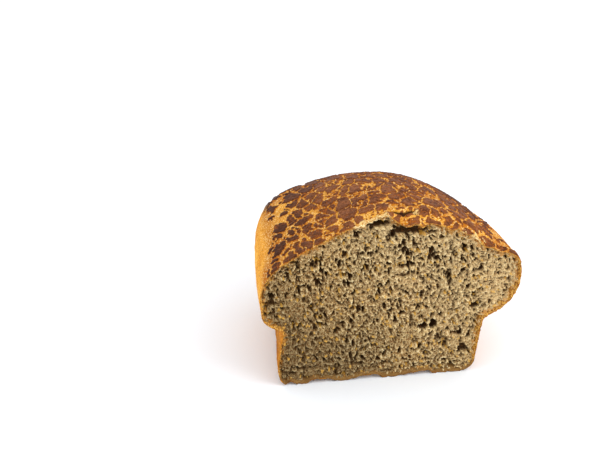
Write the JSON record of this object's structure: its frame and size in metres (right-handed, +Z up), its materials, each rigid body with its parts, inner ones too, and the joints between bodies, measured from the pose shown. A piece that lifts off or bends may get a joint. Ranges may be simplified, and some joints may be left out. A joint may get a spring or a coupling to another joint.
{
  "type": "tin loaf half",
  "caption": "Half of a tin loaf cut across the middle, with an open crumb face, a crackled crown that overhangs both sides, straight tin-baked walls and a flat base.",
  "frame": {"origin": "under the middle of the loaf's box, on the surface that its base rests on", "axes": "+X to the right as the cut face is looked at, +Y from the cut face to the closed end, +Z up"},
  "size_m": [0.1452, 0.118, 0.1012],
  "materials": {
    "baked_bread": "baked crackled rice-paste crust on the crown, plain golden-brown crust on the tin walls and base, and open wholemeal crumb on the cut face"
  },
  "bodies": {
    "root": {"tin_loaf_half": "baked_bread"}
  },
  "joints": []
}
